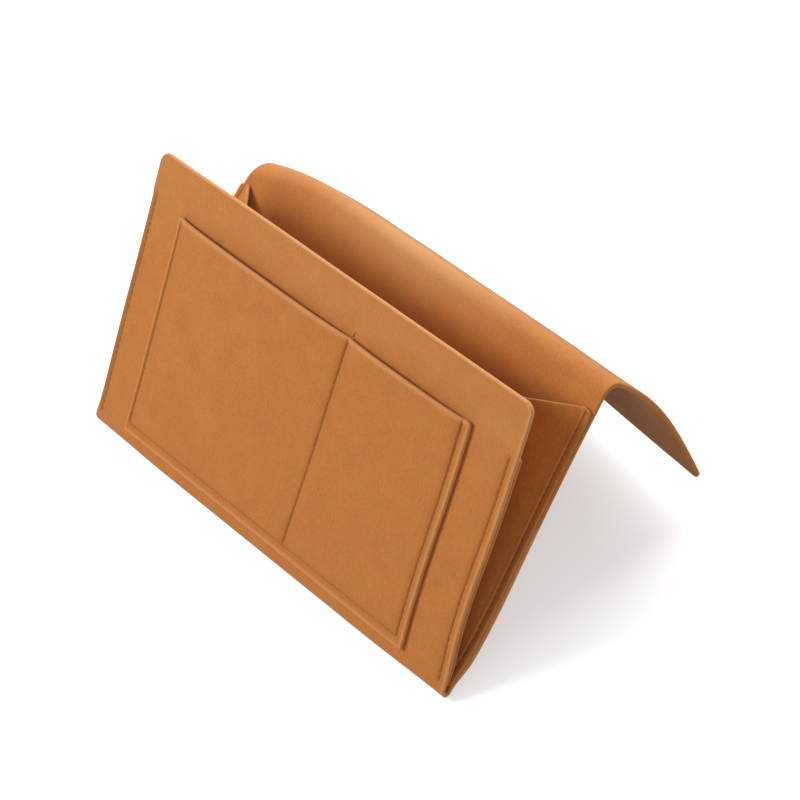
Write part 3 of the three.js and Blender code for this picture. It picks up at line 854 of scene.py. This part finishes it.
def gusset_area(side):
    """The flat area of a gusset's two halves, in square metres, and its reach, in metres.

    Each half is a triangle from the fold lines' common point, as high as its mean top. The
    turns round the crease and the seam lines, the cut edges and the margins aren't counted.
    """
    front, crease, rear = gusset_tops(side)
    halves = 0.25 * HALF_TAN * ((front + crease) ** 2 + (crease + rear) ** 2) / 2
    return halves / 1e6, max(front, crease, rear) / 1000


for name, side in SIDES.items():
    area, reach = gusset_area(side)
    width = 2 * reach * HALF_TAN
    print("gusset", name, "flat", round(width, 4), "by", round(reach, 4), "area", round(area, 5))

# %% [markdown]
# ## Riding on the bodies
# For the strip's two pieces, at the joints that divide them, and for the gussets, at their
# creases, a place and a step across are worked out, and the pieces are baked in place as they
# are. Everything else rides whole on its panel.

# %% Joint places, and riding
# how far each bend would reach from its joint, in metres, and the crease's depth in millimetres
FOLD_BEND, RIDGE_BEND, CREASE_BEND, CREASE_DEPTH = 0.0037, 0.012, 0.0022, 2.0
joints = {joint["name"]: joint for joint in frame["joints"]}
at = Vector(joints["front_open"]["pos_m"])
step = Vector(to_row_direction([0, 0, 1.0])) * FOLD_BEND
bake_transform(front_strip)
hinge = joints["flap_fold"]
hinge_axis, at = Vector(hinge["axis"]).normalized(), Vector(hinge["pos_m"])
heading = float(np.mean(LEAN) + np.mean(RIDGE_TURN) / 2)
over = Vector(to_row_direction([0, math.cos(heading), math.sin(heading)]))
step = (over - hinge_axis * over.dot(hinge_axis)).normalized() * RIDGE_BEND
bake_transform(tuck_strip)

for name, side in SIDES.items():
    apex, _, _, inward, sideways, _ = gusset_directions(side)
    at = Vector(to_row(apex + inward * CREASE_DEPTH))
    step = Vector(to_row_direction(sideways)).normalized() * CREASE_BEND
    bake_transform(gussets[name][0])
    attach(flanges[(name, "front")], "front")
    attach(flanges[(name, "rear")], "back")
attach(pocket_patch, "front")

# %% [markdown]
# ## Stitches
# A lockstitch shows as a row of short strands. Each is a tube along the seam that dives into
# the felt at both ends, by the fourth power of the distance from its middle; its section has
# two lobes that turn, as two plies wind round each other.

# %% Stitch rows
PITCH = 4.5
STRAND_HALF, STRAND_RADIUS = 1.95, 0.40
STRAND_STEPS, STRAND_SIDES = 9, 8
STRAND_SUNK, STRAND_DIVE, STRAND_TAPER = 0.74, 0.7, 0.35
STRAND_WIDE, STRAND_FLAT = 1.08, 0.9
PLY_DEPTH, PLY_TWIST = 0.13, 5


def strand_quads():
    """The quads of one strand: a tube of rings, with three quads closing each end."""
    ring, spot = np.arange(STRAND_STEPS - 1)[:, None] * STRAND_SIDES, np.arange(STRAND_SIDES)
    a, b = (ring + spot).ravel(), (ring + (spot + 1) % STRAND_SIDES).ravel()
    tube = np.stack([a, b, b + STRAND_SIDES, a + STRAND_SIDES], 1)
    cap = np.array([[3, 2, 1, 0], [7, 4, 3, 0], [7, 6, 5, 4]])
    return np.concatenate([tube, cap, cap[:, ::-1] + (STRAND_STEPS - 1) * STRAND_SIDES])


def stitch_row(name, legs, surface):
    """One mesh of strands along straight legs of a seam on a surface(x, u, lift)."""
    parts = []
    for start, end in legs:
        run = np.subtract(end, start)
        count = max(1, round(np.linalg.norm(run) / PITCH))
        middles = start + (np.arange(count) + 0.5)[:, None] / count * run
        parts.append((middles, np.broadcast_to(unit(run), middles.shape)))
    flat, run = map(np.concatenate, zip(*parts))
    count = len(flat)
    xi = np.linspace(-1, 1, STRAND_STEPS)
    spots = flat[:, None] + run[:, None] * (xi * STRAND_HALF)[:, None]
    lift = np.broadcast_to(-STRAND_SUNK - STRAND_DIVE * xi**4, spots.shape[:2])
    centre = surface(spots[..., 0], spots[..., 1], lift)
    up = unit(surface(spots[..., 0], spots[..., 1], lift + 0.2) - centre)
    aside = np.cross(unit(np.gradient(centre, axis=1)), up)
    phi = np.arange(STRAND_SIDES) / STRAND_SIDES * 2 * math.pi
    plies = 1 + PLY_DEPTH * np.cos(2 * phi - PLY_TWIST * xi[:, None])
    radius = STRAND_RADIUS * (1 - STRAND_TAPER * xi**6)[:, None] * plies
    ring = aside[:, :, None] * (radius * np.cos(phi) * STRAND_WIDE)[..., None]
    ring = ring + up[:, :, None] * (radius * np.sin(phi) * STRAND_FLAT)[..., None]
    vertices = to_row(settle((centre[:, :, None] + ring).reshape(-1, 3)))
    first = np.arange(count) * STRAND_STEPS * STRAND_SIDES
    quads = (strand_quads() + first[:, None, None]).reshape(-1, 4)
    along = np.tile(np.repeat(xi, STRAND_SIDES), count)
    around = np.tile(phi * STRAND_RADIUS, count * STRAND_STEPS)
    cloth = np.stack([along * STRAND_HALF, around, along * 0], 1) / 1000
    made = mesh_object(name, vertices, outwards(vertices, quads), {"cloth": cloth})
    print(name, count, "strands")
    return made


TACK_HIGH, TACK_RUN, TACK_LIFT = 1.6, 1.8, 0.7
TACK_START, TACK_END = (0.2, 7.0), (0.0, 1.0)


def patch_face(x, u, lift):
    """The patch's outer face, and above its edge the panel's, where one stitch ends the divider."""
    over = rise(u, PATCH_TOP + TACK_HIGH, -TACK_RUN)
    raised = (THICK + GAP + gape(x, u)) * over + HALF_THICK + lift + TACK_LIFT * (1 - over)
    return on_front(x, u, raised)


def face_over(place, layers, out):
    """A face over the front or the back, past as many flanges as layers says.

    out is 1 for the face that looks away from the pocket, and -1 for the one inside it.
    """
    def face(x, reach, lift):
        return place(x, reach, out * (layers * (THIN + GAP) + HALF_THICK + lift))
    return face


front_outer, front_inner = face_over(on_front, 0, 1), face_over(on_front, 0, -1)
patch_legs = list(zip(PATCH_SEAM, PATCH_SEAM[1:]))
divider_leg = [(DIVIDER_TOP, DIVIDER_BOTTOM)]
tack_leg = [(DIVIDER_TOP + TACK_START, DIVIDER_TOP + TACK_END)]
rows = [
    ("patch_front", patch_legs, patch_face, "front"),
    ("patch_back", patch_legs, front_inner, "front"),
    ("divider_front", divider_leg + tack_leg, patch_face, "front"),
    ("divider_back", divider_leg, front_inner, "front"),
]
for name, side in SIDES.items():
    front_ends = (FOLD_CENTRE + SEAM_LOW, FOLD_CENTRE + FRONT_REACH[side] - SEAM_END)
    back_ends = (SEAM_LOW, BACK_REACH[side] - SEAM_END)
    front_leg = [tuple((side * SEAM_X, u) for u in front_ends)]
    outer_leg = [tuple((FRONT_SEAM_X[side], u) for u in front_ends)]
    back_leg = [tuple((side * SEAM_X, reach) for reach in back_ends)]
    rows += [
        (f"{name}_front_outer", outer_leg, front_outer, "front"),
        (f"{name}_front_inner", front_leg, face_over(on_front, 1, -1), "front"),
        (f"{name}_rear_outer", back_leg, face_over(on_back, 0, 1), "back"),
        (f"{name}_rear_inner", back_leg, face_over(on_back, 1, -1), "back"),
    ]

threads = []
for name, legs, surface, body in rows:
    row = stitch_row(f"stitches_{name}", legs, surface)
    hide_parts(f"thread_{name}")
    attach(row, body)
    threads.append(row)

# %% [markdown]
# ## Felt
# Pressed wool felt is matt, with a short nap that catches light at grazing angles. Its colour
# comes from three noises in the cloth's own coordinates: broad soft mottling, a finer cloud of
# wool, and short fibres, which are stretched noise laid in two directions. Cut edges are a
# little paler and rougher, and seams are darker where the felt is pressed. Painted light makes
# the front panel paler towards its top and the ridge paler as a painted highlight, painted
# shade darkens the front's left margin, and a bump follows the fibres.

# %% The felt node group
MOTTLE_TONE, WOOL_TONE, STRAND_TONE = (0.94, 1.06), (0.90, 1.10), (0.89, 1.08)
# the pull tone darkens pressed seams, and the front's left margin as painted shade; PULL_COLOUR
# saturates both
PULL_AND_SHADE_TONE, RIM_TONE, PULL_COLOUR = -0.28, 0.28, 0.05
HUE_RANGE, PALE_RANGE, ROUGH_RANGE = (0.4945, 0.5045), (0.0, 0.12), (0.86, 0.99)
# how far cut edges turn the felt pale, and how far the painted light on the front's top and the
# ridge does
RIM_PALE, PAINTED_LIGHT_PALE = 0.32, 0.34
STRAND_HEIGHT, WOOL_HEIGHT = 0.55, 0.45
FELT_COLOUR, PALE_FELT = (0.550, 0.190, 0.040, 1), (0.80, 0.46, 0.22, 1)
THREAD_COLOURS = ((0.36, 0.112, 0.024, 1), (0.46, 0.150, 0.034, 1))


def feed(tree, node, sources):
    """Each named socket of a node, linked from another socket or set to a value."""
    for socket, source in dict(sources).items():
        if isinstance(source, bpy.types.NodeSocket):
            tree.links.new(source, node.inputs[socket])
        else:
            node.inputs[socket].default_value = source


def adder(tree):
    """A helper that adds a shader node of a kind to a tree, feeds it and sets its properties."""
    def add(kind, sources=(), **settings):
        node = tree.nodes.new(f"ShaderNode{kind}")
        for key, value in settings.items():
            setattr(node, key, value)
        feed(tree, node, sources)
        return node
    return add


def felt_group():
    """Colour, roughness and height of felt from its flat place, its cut edges, its seams, and
    painted light and shade.
    """
    group = bpy.data.node_groups.new("felt_surface", "ShaderNodeTree")
    group.interface.new_socket("Colour", in_out="INPUT", socket_type="NodeSocketColor")
    for label, kind in (("Colour", "Color"), ("Roughness", "Float"), ("Height", "Float")):
        group.interface.new_socket(label, in_out="OUTPUT", socket_type=f"NodeSocket{kind}")
    add = adder(group)
    start, end = group.nodes.new("NodeGroupInput"), group.nodes.new("NodeGroupOutput")
    cloth = add("Attribute", attribute_name="cloth").outputs["Vector"]
    marks = ("rim", "pull", "painted_light")
    rim, pull, painted_light = (add("Attribute", attribute_name=key).outputs["Fac"] for key in marks)

    def noise(scale, detail, vector=cloth, roughness=0.6):
        sources = {"Vector": vector, "Scale": scale, "Detail": detail, "Roughness": roughness}
        return add("TexNoise", sources).outputs["Fac"]

    def maths(operation, a, b):
        return add("Math", {0: a, 1: b}, operation=operation).outputs[0]

    def plus(a, b):
        return maths("ADD", a, b)

    def times(a, b):
        return maths("MULTIPLY", a, b)

    def spread(value, low, high):
        sources = {"From Min": 0.25, "From Max": 0.75, "To Min": low, "To Max": high}
        return add("MapRange", {"Value": value, **sources}).outputs["Result"]

    def fibres(turn, scale):
        sources = {"Vector": cloth, "Rotation": (0, 0, turn), "Scale": (scale, scale * 0.16, scale)}
        return noise(1.0, 3.0, add("Mapping", sources).outputs["Vector"], 0.55)

    mottle, wool = noise(60.0, 4.0), noise(620.0, 4.0)
    strands = maths("MAXIMUM", fibres(0.5, 1500.0), fibres(2.2, 1350.0))
    tone = times(spread(mottle, *MOTTLE_TONE), spread(wool, *WOOL_TONE))
    tone = times(tone, spread(strands, *STRAND_TONE))
    # darker where seams pull, which on the front's left margin is painted shade, and paler at cut
    # edges
    for value, share in ((pull, PULL_AND_SHADE_TONE), (rim, RIM_TONE)):
        tone = times(tone, plus(1.0, times(value, share)))
    scaled = add("VectorMath", {0: start.outputs["Colour"], "Scale": tone}, operation="SCALE")
    warm = add("HueSaturation", {
        "Color": scaled.outputs[0], "Value": 1.0,
        "Saturation": plus(1.0, times(pull, PULL_COLOUR)),
        "Hue": spread(noise(70.0, 3.0), *HUE_RANGE),
    })
    # pale noise and paler cut edges, then the painted light on the front's top and the ridge's
    # painted highlight
    pale_share = plus(spread(noise(760.0, 3.0), *PALE_RANGE), times(rim, RIM_PALE))
    pale_share = plus(pale_share, times(painted_light, PAINTED_LIGHT_PALE))
    # sockets 6 and 7 of the mix node are its two colours
    pale = add("Mix", {0: pale_share, 6: warm.outputs["Color"], 7: PALE_FELT}, data_type="RGBA")
    height = plus(times(strands, STRAND_HEIGHT), times(wool, WOOL_HEIGHT))
    feed(group, end, {
        "Colour": pale.outputs[2], "Roughness": spread(wool, *ROUGH_RANGE),
        "Height": times(height, plus(1.0, rim)),
    })
    return group


def new_material(name):
    """A new material, its node tree and its shader."""
    material = bpy.data.materials.new(name)
    material.use_nodes = True
    return material, material.node_tree, material.node_tree.nodes["Principled BSDF"]


def felt_material():
    """Felt: the group feeds the shader's colour, roughness and bump; the nap is its sheen."""
    material, tree, shader = new_material("camel_felt")
    add = adder(tree)
    surface = add("Group", node_tree=felt_group())
    feed(tree, surface, {"Colour": FELT_COLOUR})
    sources = {"Strength": 0.55, "Distance": 0.00045, "Height": surface.outputs["Height"]}
    feed(tree, shader, {
        "Normal": add("Bump", sources).outputs["Normal"],
        "Base Color": surface.outputs["Colour"], "Roughness": surface.outputs["Roughness"],
        "Specular IOR Level": 0.03, "Sheen Weight": 0.40, "Sheen Roughness": 0.45,
        "Sheen Tint": (1.0, 0.88, 0.70, 1),
    })
    return material


felt = felt_material()
felt_pieces = [front_strip, tuck_strip, pocket_patch]
felt_pieces += [body for body, _ in gussets.values()] + list(flanges.values())
for piece in felt_pieces:
    piece.data.materials.append(felt)
print(len(felt_pieces), "pieces of felt")

# %% The thread's material
def thread_material():
    """Spun thread: a fine twist in its colour and bump, with a soft shine."""
    material, tree, shader = new_material("sewing_thread")
    add = adder(tree)
    cloth = add("Attribute", attribute_name="cloth").outputs["Vector"]
    sources = {"Vector": cloth, "Scale": 900, "Distortion": 1.5}
    twist = add("TexWave", sources, bands_direction="DIAGONAL").outputs["Fac"]
    ramp = add("ValToRGB", {"Fac": twist})
    for element, colour in zip(ramp.color_ramp.elements, THREAD_COLOURS):
        element.color = colour
    bump = add("Bump", {"Distance": 0.0001, "Height": twist})
    feed(tree, shader, {
        "Base Color": ramp.outputs["Color"], "Normal": bump.outputs["Normal"],
        "Roughness": 0.6, "Specular IOR Level": 0.12,
    })
    return material


thread = thread_material()
for row in threads:
    row.data.materials.append(thread)
print(len(threads), "threads")

# %% [markdown]
# ## Floor and light
# The picture has a white ground with hardly a shadow, and soft light: the ridge is the
# brightest, and what faces right or down is brown. So a large lamp behind lights the ridge, one
# stands high in front at the left, and a weak one fills in from the front right. The floor is
# white to the camera alone: to other light it is darker, so it throws little back up.

# %% Floor, world and lamps
scene.view_settings.view_transform = "Standard"
FLOOR_HALF, FLOOR_GLOW = 6, 0.55
FLOOR_PLAIN, FLOOR_SHOWN = (0.60, 0.55, 0.50, 1), (0.8, 0.8, 0.8, 1)
WORLD_COLOUR, WORLD_LIGHT = (1, 0.98, 0.96, 1), 0.27
LAMP_AIM = (0, 0, 0.08)


def show_apart(tree, output, lit, shown):
    """One shader for the light, and another for the camera and what gloss or glass shows it."""
    add = adder(tree)
    path = add("LightPath")
    seen = path.outputs["Is Camera Ray"]
    for kind in ("Is Glossy Ray", "Is Transmission Ray"):
        either = add("Math", {0: seen, 1: path.outputs[kind]}, operation="MAXIMUM")
        seen = either.outputs[0]
    mix = add("MixShader", {"Fac": seen, 1: lit.outputs[0], 2: shown.outputs[0]})
    feed(tree, tree.nodes[output], {"Surface": mix.outputs[0]})


def add_lamp(name, place, size, power):
    """A square lamp, turned to the caddy."""
    lamp = bpy.data.lights.new(name, "AREA")
    lamp.size = size
    lamp.energy = power
    holder = bpy.data.objects.new(name, lamp)
    holder.location = place
    towards = Vector(LAMP_AIM) - Vector(place)
    holder.rotation_euler = towards.to_track_quat("-Z", "Y").to_euler()
    scene.collection.objects.link(holder)


# the floor: plain to the light, and white and a little glowing to the camera
mesh = bpy.data.meshes.new("floor")
low, high = -FLOOR_HALF, FLOOR_HALF
mesh.from_pydata([(low, low, 0), (high, low, 0), (high, high, 0), (low, high, 0)], [], [range(4)])
floor = bpy.data.objects.new("floor", mesh)
scene.collection.objects.link(floor)
material, tree, shader = new_material("white_floor")
tree.nodes.remove(shader)
add = adder(tree)
shown, glow = add("BsdfDiffuse", {"Color": FLOOR_SHOWN}), add("Emission", {"Strength": FLOOR_GLOW})
bright = add("AddShader", {0: shown.outputs[0], 1: glow.outputs[0]})
show_apart(tree, "Material Output", add("BsdfDiffuse", {"Color": FLOOR_PLAIN}), bright)
mesh.materials.append(material)

# a weak white sky as light, and a pure white one to the camera
scene.world = bpy.data.worlds.new("studio")
scene.world.use_nodes = True
sky = scene.world.node_tree
feed(sky, sky.nodes["Background"], {"Color": WORLD_COLOUR, "Strength": WORLD_LIGHT})
white = adder(sky)("Background", {"Color": (1, 1, 1, 1)})
show_apart(sky, "World Output", sky.nodes["Background"], white)
add_lamp("back_lamp", (-0.3, 1.6, 1.1), 1.3, 35)
add_lamp("front_lamp", (-0.9, -1.25, 1.5), 0.7, 26)
add_lamp("fill_lamp", (1.1, -1.6, 0.6), 1.0, 4.0)
print("lamps:", [light.name for light in bpy.data.lights if light.users])
